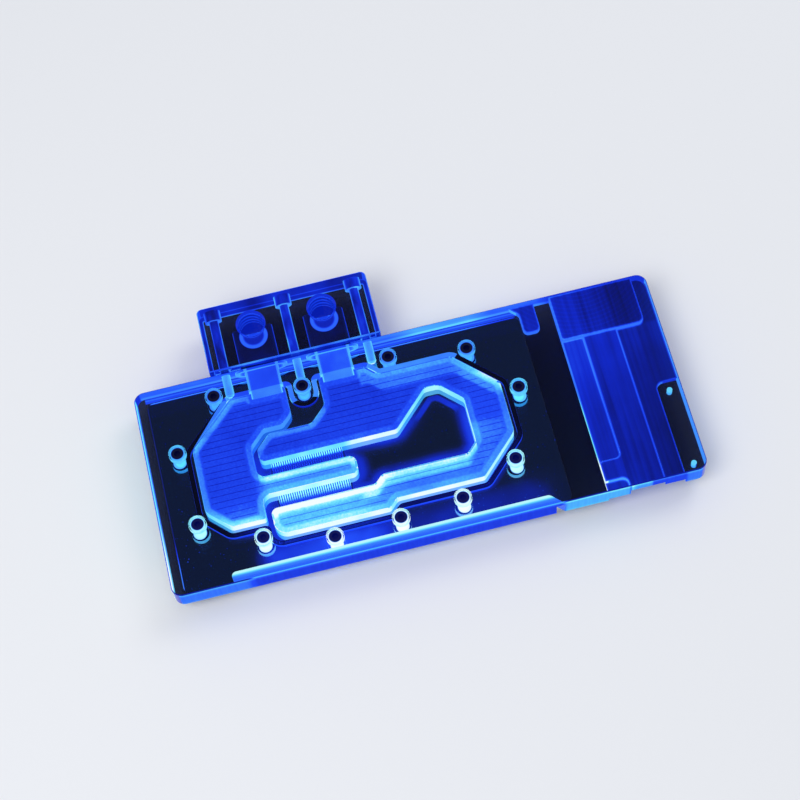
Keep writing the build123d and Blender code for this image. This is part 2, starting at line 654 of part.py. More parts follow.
def cap_screw(length):
    """Socket head cap screw, with the underside of its head at the origin and its shank down."""
    head = Pos(0, 0, HEAD_HEIGHT / 2) * Cylinder(HEAD_RADIUS, HEAD_HEIGHT)
    head = chamfer(head.edges().sort_by(Axis.Z)[-1], HEAD_CHAMFER)
    shank = Pos(0, 0, -length / 2) * Cylinder(SCREW_RADIUS, length)
    shank = chamfer(shank.edges().sort_by(Axis.Z)[0], TIP_CHAMFER)
    socket = extrude(Pos(0, 0, HEAD_HEIGHT) * RegularPolygon(SOCKET_RADIUS, 6), amount=-SOCKET_DEPTH)
    return head + shank - socket


def standoff(x, y):
    """Brass standoff with a threaded hole, its spigot seated in the cold plate."""
    collar = pin(x, y, STANDOFF_RADIUS, REST_LEVEL, COLD_BOTTOM)
    collar = chamfer(collar.edges().sort_by(Axis.Z)[0], STANDOFF_CHAMFER)
    spigot = pin(x, y, STANDOFF_SPIGOT, COLD_BOTTOM, COLD_BOTTOM + STANDOFF_SPIGOT_LENGTH)
    bore_top = COLD_BOTTOM + STANDOFF_SPIGOT_LENGTH - STANDOFF_WEB
    bore = pin(x, y, STANDOFF_BORE, REST_LEVEL - OVER, bore_top)
    return collar + spigot - bore


def light_strip():
    """Strip of lights: sticky tape on the slot's near wall, the board, its lights and resistors."""
    middle_z = UNDERSIDE + STRIP_LIFT + STRIP_HEIGHT / 2
    right = STRIP_LEFT + STRIP_LENGTH
    low = middle_z - STRIP_HEIGHT / 2
    high = middle_z + STRIP_HEIGHT / 2
    tape_back = SLOT_NEAR_WALL + TAPE_CLEARANCE
    board_back = tape_back + TAPE_THICK
    board_front = board_back + STRIP_THICK
    tape = block(STRIP_LEFT, tape_back, low + TAPE_INSET, right, board_back, high - TAPE_INSET)
    board = block(STRIP_LEFT, board_back, low, right, board_front, high)
    pitch = STRIP_LENGTH / LIGHT_COUNT
    lights = []
    resistors = []
    for i in range(LIGHT_COUNT):
        x = STRIP_LEFT + (i + 0.5) * pitch
        body = block(
            x - LIGHT_WIDTH / 2, board_front, middle_z - LIGHT_HEIGHT / 2,
            x + LIGHT_WIDTH / 2, board_front + LIGHT_THICK, middle_z + LIGHT_HEIGHT / 2,
        )
        front = board_front + LIGHT_THICK
        body -= bar(Circle(LENS_RADIUS), x, middle_z, front - LENS_DEPTH, front + OVER)
        lights.append(body)
        if i % LIGHTS_PER_RESISTOR == 1:
            wide, thick, tall = RESISTOR_SIZE
            spot = x + pitch / 2
            resistors.append(
                block(
                    spot - wide / 2, board_front, middle_z - tall / 2,
                    spot + wide / 2, board_front + thick, middle_z + tall / 2,
                )
            )
    return tape, board, lights, resistors


def save(name, shape):
    """Moves a piece to the part's own origin and writes it."""
    solids = shape if isinstance(shape, list) else [shape]
    whole = Compound(children=[Part(s.wrapped) if not isinstance(s, Part) else s for s in solids])
    place = Pos(-COVER_LENGTH / 2, -BLOCK_FAR / 2, -REST_LEVEL)
    export_step(place * whole, f"parts/{name}.step")


def main():
    os.makedirs("parts", exist_ok=True)
    save("cover_plate", cover_plate())
    save("port_block", port_block())
    save("cold_plate", cold_plate())
    save("main_seal_ring", main_seal())
    for name, x in zip(("left", "right"), PORTS):
        save(f"port_seal_{name}", port_seal(x))
    screw = cap_screw(BLOCK_SCREW_LENGTH)
    for name, x in zip(("left", "middle", "right"), BLOCK_SCREWS):
        save(f"port_block_screw_{name}", Pos(x, LEDGE_Y, -NECK_LEVEL) * Rot(-90, 0, 0) * screw)
    screw = cap_screw(COVER_SCREW_LENGTH)
    save("cover_screws", [Pos(x, y, HEAD_SEAT) * screw for x, y in cover_screw_places()])
    tape, board, lights, resistors = light_strip()
    save("light_tape", tape)
    save("light_board", board)
    save("light_chips", lights)
    save("light_resistors", resistors)
    save("core_standoffs", [standoff(x, y) for x, y in CORE_STANDOFFS])
    save("board_standoffs", [standoff(x, y) for x, y in BOARD_STANDOFFS])


main()
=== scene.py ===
"""Looks for the water block: lit acrylic on a nickel-plated plate, on a plain pale floor.

The cover and the port block are clear glass. Each surface that a cutter has left in them gets a
thin skin just inside the glass, which glows the way milled acrylic does beside a blue light
strip. Sizes in this script are in millimetres from the cover's near left corner at its top face,
as in part.py, and at() turns them into the row's metres.

A skin's brightness is a level on one ramp of blues, from 0 for black to 1 for overexposed. The
level functions add it up from patches of light: x.step(a, b) runs from 0 at a to 1 at b along X,
and the factor behind it is how much brighter the patch is.
"""

from math import radians

import bpy
import numpy as np
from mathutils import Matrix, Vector
from mathutils.geometry import delaunay_2d_cdt


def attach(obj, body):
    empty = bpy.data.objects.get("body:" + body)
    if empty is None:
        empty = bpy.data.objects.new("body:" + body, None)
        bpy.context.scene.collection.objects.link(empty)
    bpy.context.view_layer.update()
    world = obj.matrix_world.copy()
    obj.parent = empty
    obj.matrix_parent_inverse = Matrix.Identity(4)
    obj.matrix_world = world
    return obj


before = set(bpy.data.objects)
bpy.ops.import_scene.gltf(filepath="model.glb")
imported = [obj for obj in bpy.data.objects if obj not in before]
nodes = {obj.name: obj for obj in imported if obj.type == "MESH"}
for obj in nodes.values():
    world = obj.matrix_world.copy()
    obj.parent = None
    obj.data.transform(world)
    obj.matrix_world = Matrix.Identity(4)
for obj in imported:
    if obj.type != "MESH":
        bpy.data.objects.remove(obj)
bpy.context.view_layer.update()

# The plate's own corner in the row frame, and sizes shared with part.py
CORNER = np.array([-125.0, -70.0, 18.9])
LENGTH, WIDTH, THICK = 250.0, 105.4, 11.0
COVER_CORNER = 5.0
EDGE_BREAK = 0.4
ROOF = -4.0
SLOT_ROOF = -3.0
COLD_LEFT, COLD_RIGHT, COLD_FAR = 4.7, 187.2, 102.3
FIN_LEFT, FIN_RIGHT, FIN_DEPTH = 56.0, 90.0, 3.4
POCKETS = {"tall": -3.5, "coil": -5.4, "low": -7.0, "rim": -7.9, "plug": -9.0}
PAD_HOLES = [(244.6, 5.4), (244.6, 44.0)]
BLOCK_TOP, BLOCK_NEAR = 4.0, 105.5
PORTS = [(61.9, 126.0), (96.5, 126.0)]
BLOCK_SCREWS = [44.7, 79.2, 113.7]

# Where the CAD's faces are picked: areas as left, right, near and far, and reaches round an axis
CHANNEL_AREA = (20, 172, 15, 95)
SLOT_AREA = (27, 187, 0.5, 6.4)
RELIEF_AREA = (186, 249.6, 0.3, 105.2)
SEAL_AREA = (15, 186, 8, 105.3)
TAPS_FROM, NECKS_FROM = 90, 85
OUTER_X, OUTER_Y = 0.6, 0.5
BELOW_TOP = -0.5
BLOCK_WALLS = (37.9, 120.6, 139.8)
BLOCK_FOOT = -8.9
BORE_REACH, SCREW_HOLE_REACH, PAD_HOLE_REACH = 4.3, 2.6, 1.4
PORT_REACH, PORT_RIM_REACH, PORT_FLOOR = 7.3, 8.0, -6.1
TAP_REACH, ROD_REACH = 2.6, 5.5
SCREW_TOPS = (-0.7, 0.0)
SCREW_APART = 8

# How exactly a face has to lie where it is looked for
SLACK = 0.05
LEVEL_SLACK = 0.02
LEVEL_NORMAL, UPRIGHT_NORMAL = 0.99, 0.05
NO_AREA = 1e-9
NO_LENGTH = 1e-12
FAR_AWAY = 1e9

# Sheets that know their distance from an outline
SHEET_SPACING, PLATE_SPACING = 0.8, 1.6
SHEET_MERGE = 1e-5
AHEAD_LIMIT = 50

# Light round the screws and over the fins. A band of fins has its near and far end, the place
# where it starts to brighten, and its level up to there
HEAD_DARK, HEAD_LIT = 2.7, 3.1
SCREW_SPOT, SCREW_STREAK = 3.4, 2.0
FIN_BANDS = [(34.0, 41.0, 34.8, 0.50), (50.8, 58.0, 53.2, 0.36)]
FIN_BRIGHT = 0.90

# The cutter's passes on the channel roofs, and the middle of its swirls in the tall pocket
PASS_SPACING, PASS_SHIFT = 3.1, 0.1
SWIRL_MIDDLE = (219, 128)
SWIRLS_PER_MM = 0.45

# Lines along the port's wall, and how far in front of a port its reflection lies
THREADS_PER_MM, THREAD_SHIFT = 0.37, 0.2
PORT_ECHO = 4.6

# Share of light that the tinted glass lets through at each surface, and the skins' lamp strength
# The dark blue tint is painted shade: it darkens all that is seen through the clear acrylic
TINT = (0.15, 0.17, 0.25)
THROUGH_COVER = tuple(t * t for t in TINT)
BARE = (1, 1, 1)
SKIN_DEPTH = 0.03
SKIN_STRENGTH = 7.0

# Screen colours that the blue light runs through from dark to overexposed
LIGHT_RAMP = [
    (0.00, (0, 0, 0)),
    (0.12, (2, 4, 45)),
    (0.28, (4, 18, 135)),
    (0.42, (10, 38, 205)),
    (0.58, (28, 74, 250)),
    (0.72, (62, 142, 253)),
    (0.80, (78, 186, 252)),
    (0.88, (110, 226, 254)),
    (0.94, (172, 246, 255)),
    (1.00, (242, 253, 255)),
]

# The camera that the photograph was taken with, in the row frame in millimetres
CAMERA_PLACE = (-48.2, -419.1, 860.6)
CAMERA_AIM = (-3.39, -0.24, 18.9)
CAMERA_ROLL = -8.1
CAMERA_LENS = 90.7
CAMERA_SENSOR = 36.0

# Floor, sky and softboxes: places and sizes in metres, power in watts
FLOOR_SIZE = 6
FLOOR_SCREEN_COLOR = (226, 227, 230)
SKY_COLOR = (0.92, 0.95, 1.0, 1)
SKY_STRENGTH = 0.62
SOFTBOXES = [((-0.7, -0.5, 1.3), 0.9, 11.0), ((0.9, 0.6, 1.1), 0.8, 5.0)]


def at(points):
    """Points in the plate's millimetres as metres in the row frame."""
    return (np.asarray(points, float) + CORNER) / 1000


def linear(r, g, b):
    """Screen colour from 0 to 255 as the linear colour that shaders use."""
    c = np.array([r, g, b]) / 255
    return tuple(np.where(c <= 0.04045, c / 12.92, ((c + 0.055) / 1.055) ** 2.4))


class Field:
    """A number that shader nodes work out at each point, used with ordinary arithmetic."""

    def __init__(self, tree, socket):
        self.tree = tree
        self.socket = socket

    def math(self, operation, *others):
        node = self.tree.nodes.new("ShaderNodeMath")
        node.operation = operation
        for slot, value in zip(node.inputs, (self, *others)):
            if isinstance(value, Field):
                self.tree.links.new(value.socket, slot)
            else:
                slot.default_value = value
        return Field(self.tree, node.outputs[0])

    def __add__(self, other):
        return self.math("ADD", other)

    def __sub__(self, other):
        return self.math("SUBTRACT", other)

    def __mul__(self, other):
        return self.math("MULTIPLY", other)

    def __neg__(self):
        return self * -1.0

    def most(self, other):
        return self.math("MAXIMUM", other)

    def least(self, other):
        return self.math("MINIMUM", other)

    def blend(self, other, share):
        """Turns into another value as share goes from 0 to 1."""
        return self * (-share + 1.0) + share * other

    def away_from(self, middle):
        """Distance from a middle value, never negative."""
        return (self - middle).math("ABSOLUTE")

    def step(self, start, end):
        """Runs smoothly from 0 at start to 1 at end."""
        node = self.tree.nodes.new("ShaderNodeMapRange")
        node.interpolation_type = "SMOOTHSTEP"
        self.tree.links.new(self.socket, node.inputs["Value"])
        node.inputs["From Min"].default_value = min(start, end)
        node.inputs["From Max"].default_value = max(start, end)
        node.inputs["To Min"].default_value = 0.0 if start < end else 1.0
        node.inputs["To Max"].default_value = 1.0 if start < end else 0.0
        return Field(self.tree, node.outputs["Result"])

    def between(self, rise, fall):
        """Goes up to 1 over the first stretch and back to 0 over the second."""
        return self.step(*rise) * self.step(*fall)

    def repeat(self, per_mm, shift):
        """Distance from the middle of each turn of a pattern that repeats, 0 to 0.5."""
        return (self * per_mm + shift).math("FRACT").away_from(0.5)


def position(tree):
    """Fields of the plate's X, Y and Z in millimetres."""
    geometry = tree.nodes.new("ShaderNodeNewGeometry")
    split = tree.nodes.new("ShaderNodeSeparateXYZ")
    tree.links.new(geometry.outputs["Position"], split.inputs[0])
    return [Field(tree, out) * 1000.0 - float(c) for out, c in zip(split.outputs, CORNER)]


def noise(tree, scale, stretch=(1, 1, 1), detail=2.0):
    """Noise from 0 to 1, with a scale per metre and a stretch along each axis."""
    geometry = tree.nodes.new("ShaderNodeNewGeometry")
    mapping = tree.nodes.new("ShaderNodeMapping")
    mapping.inputs["Scale"].default_value = stretch
    node = tree.nodes.new("ShaderNodeTexNoise")
    node.inputs["Scale"].default_value = scale
    node.inputs["Detail"].default_value = detail
    tree.links.new(geometry.outputs["Position"], mapping.inputs["Vector"])
    tree.links.new(mapping.outputs[0], node.inputs["Vector"])
    return Field(tree, node.outputs["Fac"])


def mottle(tree, amount, scale, stretch=(1, 1, 1), detail=2.0):
    """Noise of this amount, half of it above 0 and half below."""
    return (noise(tree, scale, stretch, detail) - 0.5) * amount


def attribute(tree, name):
    """Value that a sheet's points carry."""
    node = tree.nodes.new("ShaderNodeAttribute")
    node.attribute_name = name
    return Field(tree, node.outputs["Fac"])


def normal_share(tree, axis):
    """How far a face looks along an axis, either way: 1 straight along it, 0 across it."""
    geometry = tree.nodes.new("ShaderNodeNewGeometry")
    split = tree.nodes.new("ShaderNodeSeparateXYZ")
    tree.links.new(geometry.outputs["Normal"], split.inputs[0])
    return Field(tree, split.outputs[axis]).math("ABSOLUTE")


def upright(tree):
    """0 on level faces to 1 on upright ones."""
    return -normal_share(tree, "Z") + 1.0


def plan_reach(x, y, spot):
    """Distance in plan from a spot."""
    across = (x - spot[0]).math("POWER", 2.0) + (y - spot[1]).math("POWER", 2.0)
    return across.math("SQRT")


def squared_reach(x, y, spot, streak=0.0):
    """Squared distance in plan from a spot, or from a streak that starts there and runs to -Y."""
    off_x, off_y = x - float(spot[0]), y - float(spot[1])
    if streak:
        off_y = off_y.most(-off_y - streak).most(0.0)
    return off_x * off_x + off_y * off_y


def strip_light(y, near=1.0, far=0.0, reach=105.0):
    """Brightness that falls off from the light strip along the near edge."""
    return y * ((far - near) / reach) + near


def principled(mat):
    """The one Principled shader that each material here has."""
    return mat.node_tree.nodes["Principled BSDF"]


def plain(name, color, metallic=0.0, roughness=0.5, **sockets):
    """Material of one Principled shader, with other sockets given by name."""
    mat = bpy.data.materials.new(name)
    mat.use_nodes = True
    shader = principled(mat)
    shader.inputs["Base Color"].default_value = (*color, 1)
    shader.inputs["Metallic"].default_value = metallic
    shader.inputs["Roughness"].default_value = roughness
    for key, value in sockets.items():
        shader.inputs[key.replace("_", " ")].default_value = value
    return mat


def skin_material(name, level, base=linear(2, 6, 30), tint=TINT, roughness=0.55, **sockets):
    """Surface that glows behind a tint; level(tree, x, y, z) is its brightness, 0 to 1."""
    mat = plain(name, base, roughness=roughness, **sockets)
    tree = mat.node_tree
    ramp = tree.nodes.new("ShaderNodeValToRGB")
    points = ramp.color_ramp.elements
    while len(points) < len(LIGHT_RAMP):
        points.new(0.5)
    for point, (spot, color) in zip(points, LIGHT_RAMP):
        point.position = spot
        point.color = (*(np.array(linear(*color)) / np.array(tint) / SKIN_STRENGTH), 1)
    shader = principled(mat)
    shader.inputs["Emission Strength"].default_value = SKIN_STRENGTH
    tree.links.new(level(tree, *position(tree)).socket, ramp.inputs[0])
    tree.links.new(ramp.outputs[0], shader.inputs["Emission Color"])
    return mat


def grained(mat, scale, stretch=(1, 1, 1), shade=0.12, gloss=0.08, dents=0.0):
    """Varies a material's colour and roughness a little, with dents this deep in millimetres."""
    tree = mat.node_tree
    shader = principled(mat)
    grain = noise(tree, scale, stretch, detail=4.0)
    ramp = tree.nodes.new("ShaderNodeValToRGB")
    color = np.array(shader.inputs["Base Color"].default_value[:3])
    dark_and_light = zip(ramp.color_ramp.elements, (0.3, 0.7), (1 - shade, 1 + shade))
    for point, spot, share in dark_and_light:
        point.position = spot
        point.color = (*np.minimum(color * share, 1), 1)
    tree.links.new(grain.socket, ramp.inputs[0])
    tree.links.new(ramp.outputs[0], shader.inputs["Base Color"])
    rough = grain * (2 * gloss) + (shader.inputs["Roughness"].default_value - gloss)
    tree.links.new(rough.socket, shader.inputs["Roughness"])
    if dents:
        bump = tree.nodes.new("ShaderNodeBump")
        bump.inputs["Distance"].default_value = dents / 1000
        tree.links.new(grain.socket, bump.inputs["Height"])
        tree.links.new(bump.outputs[0], shader.inputs["Normal"])
    return mat


def paint(names, mat):
    """Gives the material slots of these CAD nodes this material."""
    for name in names:
        for slot in nodes[name].material_slots:
            slot.material = mat


def mesh_piece(name, vertices, faces, mat):
    """New piece on body root, from millimetre points."""
    places = [tuple(v) for v in at(vertices)]
    mesh = bpy.data.meshes.new(name)
    mesh.from_pydata(places, [], [tuple(int(i) for i in f) for f in faces])
    mesh.materials.append(mat)
    piece = bpy.data.objects.new(name, mesh)
    bpy.context.scene.collection.objects.link(piece)
    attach(piece, "root")
    return piece


class Faces:
    """A CAD node's triangles in the plate's millimetres, to pick surfaces from."""

    def __init__(self, node):
        mesh = nodes[node].data
        mesh.calc_loop_triangles()
        points = np.empty(len(mesh.vertices) * 3)
        mesh.vertices.foreach_get("co", points)
        points = points.reshape(-1, 3) * 1000 - CORNER
        corners = np.empty(len(mesh.loop_triangles) * 3, int)
        mesh.loop_triangles.foreach_get("vertices", corners)
        self.corners = points[corners.reshape(-1, 3)]
        a, b, c = self.corners.transpose(1, 0, 2)
        across = np.cross(b - a, c - a)
        size = np.linalg.norm(across, axis=1, keepdims=True)
        keep = size[:, 0] > NO_AREA
        self.corners, across, size = self.corners[keep], across[keep], size[keep]
        self.normal = across / size
        self.x, self.y, self.z = self.corners.mean(1).T
        self.low = self.corners.min(1)
        self.high = self.corners.max(1)
        self.flat = abs(self.normal[:, 2]) > LEVEL_NORMAL
        self.upright = abs(self.normal[:, 2]) < UPRIGHT_NORMAL

    def inside(self, x0, x1, y0, y1):
        return (self.x > x0) & (self.x < x1) & (self.y > y0) & (self.y < y1)

    def at_level(self, z):
        return self.flat & (abs(self.z - z) < LEVEL_SLACK)

    def near(self, places, reach):
        """Faces that lie wholly within reach of one of these upright axes."""
        hit = np.zeros(len(self.x), bool)
        for x, y in places:
            gap = np.hypot(self.corners[:, :, 0] - x, self.corners[:, :, 1] - y)
            hit |= gap.max(1) < reach
        return hit

    def beside(self, places, reach):
        """Faces whose middle lies within reach of one of these places along X."""
        return np.min([abs(self.x - x) for x in places], axis=0) < reach

    def skin(self, name, chosen, mat, depth=SKIN_DEPTH):
        """Copies the chosen faces to a piece of their own, set into the glass by a hair."""
        corners = self.corners[chosen] - depth * self.normal[chosen][:, None, :]
        corners = corners.reshape(-1, 3).round(4)
        points, index = np.unique(corners, axis=0, return_inverse=True)
        return mesh_piece(name, points, index.reshape(-1, 3), mat)


def rim_loops(corners):
    """Closed outlines in plan round a set of flat faces."""
    keys = corners[:, :, :2].round(3)
    points, index = np.unique(keys.reshape(-1, 2), axis=0, return_inverse=True)
    index = index.reshape(-1, 3)
    sides = np.concatenate([index[:, [0, 1]], index[:, [1, 2]], index[:, [2, 0]]])
    names = np.sort(sides, axis=1)
    _, where, count = np.unique(names, axis=0, return_index=True, return_counts=True)
    rim = sides[where[count == 1]]
    follow = {int(a): int(b) for a, b in rim}
    loops = []
    while follow:
        start = next(iter(follow))
        loop = [start]
        step = follow.pop(start)
        while step != start and step in follow:
            loop.append(step)
            step = follow.pop(step)
        if len(loop) > 3:
            loops.append(points[loop])
    return loops


def edge_distance(points, loops):
    """For each point: distance to the nearest outline, to the next one along +Y, and whether it
    lies inside them."""
    nearest = np.full(len(points), FAR_AWAY)
    ahead = np.full(len(points), FAR_AWAY)
    crossings = np.zeros(len(points), int)
    for loop in loops:
        for a, b in zip(loop, np.roll(loop, -1, axis=0)):
            along = b - a
            t = np.clip(((points - a) @ along) / max(along @ along, NO_LENGTH), 0, 1)
            gap = np.linalg.norm(points - a - t[:, None] * along, axis=1)
            nearest = np.minimum(nearest, gap)
            spans = (a[0] > points[:, 0]) != (b[0] > points[:, 0])
            if spans.any():
                y = a[1] + (points[spans, 0] - a[0]) / along[0] * along[1]
                gap = y - points[spans, 1]
                over = gap > 0
                crossings[spans] += over
                ahead[spans] = np.where(over, np.minimum(ahead[spans], gap), ahead[spans])
    return nearest, ahead, crossings % 2 == 1


def rectangle(x0, x1, y0, y1):
    """Two faces that fill a rectangle in plan."""
    a, b, c, d = (x0, y0, 0), (x1, y0, 0), (x1, y1, 0), (x0, y1, 0)
    return np.array([(a, b, c), (a, c, d)], float)


def graded_sheet(name, corners, height, mat, spacing=SHEET_SPACING, around=None):
    """Flat sheet over these faces that knows how far each of its points is from an outline."""
    loops = rim_loops(corners)
    points = np.concatenate(loops)
    edges = []
    start = 0
    for loop in loops:
        count = len(loop)
        edges += [(start + i, start + (i + 1) % count) for i in range(count)]
        start += count
    low, high = points.min(0), points.max(0)
    columns, rows = (np.arange(low[i], high[i], spacing) for i in range(2))
    grid = np.stack(np.meshgrid(columns, rows), -1).reshape(-1, 2)
    gap, _, inner = edge_distance(grid, loops)
    grid = grid[inner & (gap > spacing / 2)]
    cloud = [Vector(p) for p in np.concatenate([points, grid])]
    flat, _, triangles, *_ = delaunay_2d_cdt(cloud, edges, [], 0, SHEET_MERGE)
    flat = np.array([tuple(v) for v in flat])
    triangles = np.array([t for t in triangles if len(t) == 3])
    _, _, inner = edge_distance(flat[triangles].mean(1), loops)
    raised = np.column_stack([flat, np.full(len(flat), height)])
    piece = mesh_piece(name, raised, triangles[inner], mat)
    nearest, ahead, _ = edge_distance(flat, loops if around is None else rim_loops(around))
    for key, values in (("rim", nearest), ("ahead", np.minimum(ahead, AHEAD_LIMIT))):
        data = piece.data.attributes.new(key, "FLOAT", "POINT")
        data.data.foreach_set("value", values.astype(np.float32))
    return piece


# Glass of the cover and the port block
# Painted shade: a dark blue tint darkens what is seen through it, and its reflections are dim and
# blue
glass = plain(
    "clear_acrylic",
    THROUGH_COVER,
    roughness=0.0,
    IOR=1.49,
    Transmission_Weight=1.0,
    Specular_IOR_Level=0.2,
    Specular_Tint=(0.12, 0.15, 0.4, 1),
)
paint(["cover_plate", "port_block"], glass)

cover = Faces("cover_plate")
block = Faces("port_block")


# Cold plate: nickel, with light in the slots between its fins
def fin_slot_level(tree, x, y, z):
    field = x.between((FIN_LEFT - 4.0, FIN_LEFT), (FIN_RIGHT + 4.0, FIN_RIGHT))
    field = field * y.between((29, 31), (61, 59))
    floor = -THICK - FIN_DEPTH
    deep = z.between((floor - 0.5, floor - 0.3), (-THICK - 0.02, -THICK - 0.1))
    return field * deep * 0.46


nickel = skin_material(
    "nickel", fin_slot_level, (0.62, 0.60, 0.56), THROUGH_COVER, roughness=0.18, Metallic=1.0
)
grained(nickel, 700.0, (0.04, 0.04, 1), shade=0.10, gloss=0.07, dents=0.01)
paint(["cold_plate"], nickel)


# Rubber of the seals, lit where it passes the strip
def rubber_level(tree, x, y, z):
    near_strip = y.step(70, 10) * x.between((20, 50), (190, 160))
    return near_strip * (x.step(112, 92) * 0.12 + 0.30) + 0.05


rubber = skin_material("lit_rubber", rubber_level, roughness=0.6)
grained(rubber, 500.0, shade=0.3, dents=0.02)
paint(["main_seal_ring", "port_seal_left", "port_seal_right"], rubber)

# Screws through the port block, standoffs and what stands in the strip's slot
steel = plain("black_steel", (0.002, 0.003, 0.014), roughness=0.35, Specular_IOR_Level=0.25)
grained(steel, 900.0, shade=0.5, gloss=0.12, dents=0.02)
paint(["port_block_screw_left", "port_block_screw_middle", "port_block_screw_right"], steel)

brass = plain("brass", (0.72, 0.5, 0.2), metallic=1.0, roughness=0.28)
grained(brass, 2600.0, (0.05, 0.05, 1), shade=0.14, gloss=0.10, dents=0.03)
paint(["core_standoffs", "board_standoffs"], brass)

tape = plain("tape", (0.75, 0.75, 0.72), roughness=0.7)
grained(tape, 1800.0, shade=0.10, gloss=0.1, dents=0.04)
paint(["light_tape"], tape)

board = plain("strip_board", (0.8, 0.8, 0.78), roughness=0.45)
grained(board, 600.0, (0.1, 1, 1), shade=0.08, gloss=0.1)
paint(["light_board"], board)

chip = plain(
    "strip_light",
    (0.7, 0.75, 0.8),
    roughness=0.3,
    Emission_Color=(0.1, 0.3, 1.0, 1),
    Emission_Strength=6.0,
)
grained(chip, 900.0, shade=0.06, gloss=0.08)
paint(["light_chips"], chip)

resistor = plain("resistor", (0.02, 0.02, 0.02), roughness=0.5)
grained(resistor, 1500.0, shade=0.4, gloss=0.1)
paint(["light_resistors"], resistor)


def screw_axes():
    """Axes of the cover screws, read from the screws themselves."""
    screws = Faces("cover_screws")
    low, high = SCREW_TOPS
    tops = screws.corners[screws.flat & (screws.z > low) & (screws.z < high)]
    spots = []
    for x, y in tops.mean(1)[:, :2]:
        for spot in spots:
            if np.hypot(x - spot[0][0], y - spot[0][1]) < SCREW_APART:
                spot.append((x, y))
                break
        else:
            spots.append([(x, y)])
    return [tuple((np.min(s, 0) + np.max(s, 0)) / 2) for s in spots]


SCREWS = screw_axes()


# Heads of the cover screws: black, with painted light from the bores on their rims, dim painted
# glow elsewhere
def head_level(tree, x, y, z):
    nearest = squared_reach(x, y, SCREWS[0])
    for spot in SCREWS[1:]:
        nearest = squared_reach(x, y, spot).least(nearest)
    rim = nearest.step(HEAD_DARK**2, HEAD_LIT**2) * z.step(-3.0, -1.5)
    return rim * strip_light(y, 0.86, 0.58) + y.step(90, 10) * 0.06 + 0.10


lit_steel = skin_material(
    "lit_steel", head_level, linear(0, 0, 4), BARE, roughness=0.5, Specular_IOR_Level=0.1
)
grained(lit_steel, 900.0, shade=0.4, gloss=0.1, dents=0.01)
paint(["cover_screws"], lit_steel)


# Channel roofs: painted blue glow, dimmer on the cutter's straight passes, painted brighter by the
# walls
def lit_zone(x, y):
    """Extra light in the channels right beside the strip, most of it over the core."""
    core = x.step(122, 84) * (y.step(38, 34) * 0.09 + 0.08) + 0.11
    fingers = y.step(54, 48) * x.between((45, 54), (176, 154)) * core
    near_left = y.step(44, 24) * x.step(52, 44) * 0.17
    return fingers.most(near_left)


def wall_glow(x, y, ahead):
    """Bands of light on the roof along the walls that lie ahead of it."""
    outlet = x.step(90, 98)
    off_necks = x.away_from(PORTS[0][0]).step(8, 10) * x.away_from(PORTS[1][0]).step(8, 10)
    far_wide = ahead.step(10.5, 8.0) * y.step(60, 66) * outlet * 0.17
    far_narrow = ahead.step(6.5, 4.0) * y.step(76, 80) * 0.10
    middle = ahead.step(6.0, 0.5) * (y.step(50, 44) * 0.10 + y.step(78, 74) * 0.12)
    near = ahead.step(7.5, 5.0) * y.step(42, 36) * outlet * x.step(150, 144) * 0.19
    return far_wide.most(far_narrow) * off_necks + middle.most(near)


def roof_level(tree, x, y, z):
    rim = attribute(tree, "rim")
    edge = rim.step(3.4, 2.2) * 0.09 + rim.step(0.5, 0.0) * 0.08
    left_edge = rim.step(4.2, 0.8) * x.step(52, 44) * (y.step(42, 28) * 0.07 + 0.07)
    bend = x.step(146, 156) * y.step(38, 44) * 0.04
    passes = y.repeat(1 / PASS_SPACING, PASS_SHIFT).step(0.10, 0.03) * rim.step(3.2, 4.2) * 0.13
    uneven_glow = mottle(tree, 0.12, 60.0, detail=3.0) + mottle(tree, 0.14, 1100.0, detail=3.0)
    level = strip_light(y, 0.56, 0.47) + lit_zone(x, y) + wall_glow(x, y, attribute(tree, "ahead"))
    return level + edge + left_edge + bend + uneven_glow - passes


roof_faces = cover.corners[cover.at_level(ROOF)]
milled_roof = skin_material("milled_roof", roof_level)
graded_sheet("channel_roofs", roof_faces, ROOF + SKIN_DEPTH, milled_roof)


# Channel walls: brightest near the strip and round the island, a little less over the fins
def wall_level(tree, x, y, z):
    island = x.step(108, 116) * y.step(84, 78) * 0.8
    near = y.step(72, 58).most(island) * normal_share(tree, "Y").most(island) * 0.27
    over_fins = x.step(96, 90) * (y.step(44, 52) * 0.08 + y.step(34, 38) * 0.04)
    return near - over_fins * y.step(70, 62) + mottle(tree, 0.12, 90.0, (1, 1, 0.2)) + 0.72


full_height = cover.upright & (cover.low[:, 2] < -THICK + 2 * SLACK)
full_height &= abs(cover.high[:, 2] - ROOF) < SLACK
channel_walls = full_height & cover.inside(*CHANNEL_AREA) & ~cover.near(SCREWS, SCREW_HOLE_REACH)
cover.skin("channel_walls", channel_walls, skin_material("milled_wall", wall_level))


# Screw holes: bright rings and columns
def bore_level(tree, x, y, z):
    return strip_light(y, 1.0, 0.72) + mottle(tree, 0.16, 300.0)


bores = cover.near(SCREWS, BORE_REACH) & ~cover.at_level(0) & ~cover.at_level(-THICK)
cover.skin("screw_bores", bores & ~cover.flat, skin_material("turned_bore", bore_level))


# Slot for the strip: painted glow, pale blue to white across its roof
def slot_level(tree, x, y, z):
    return y.step(3.1, 5.2) * 0.29 + y.step(3.0, 2.2) * -0.04 + 0.66


above_underside = cover.z > -THICK + SLACK
slot_faces = cover.inside(*SLOT_AREA) & above_underside & (cover.high[:, 2] < SLOT_ROOF + SLACK)
cover.skin("light_slot", slot_faces, skin_material("lit_slot", slot_level))


# Outer edges of the cover: light that the glass carries to its rim
def at_left(x):
    """1 on the cover's left face; the next three are for its right, near and far faces."""
    return x.step(1.0, EDGE_BREAK)


def at_right(x):
    return x.step(LENGTH - 1.0, LENGTH - EDGE_BREAK)


def at_near(y):
    return y.step(1.0, EDGE_BREAK)


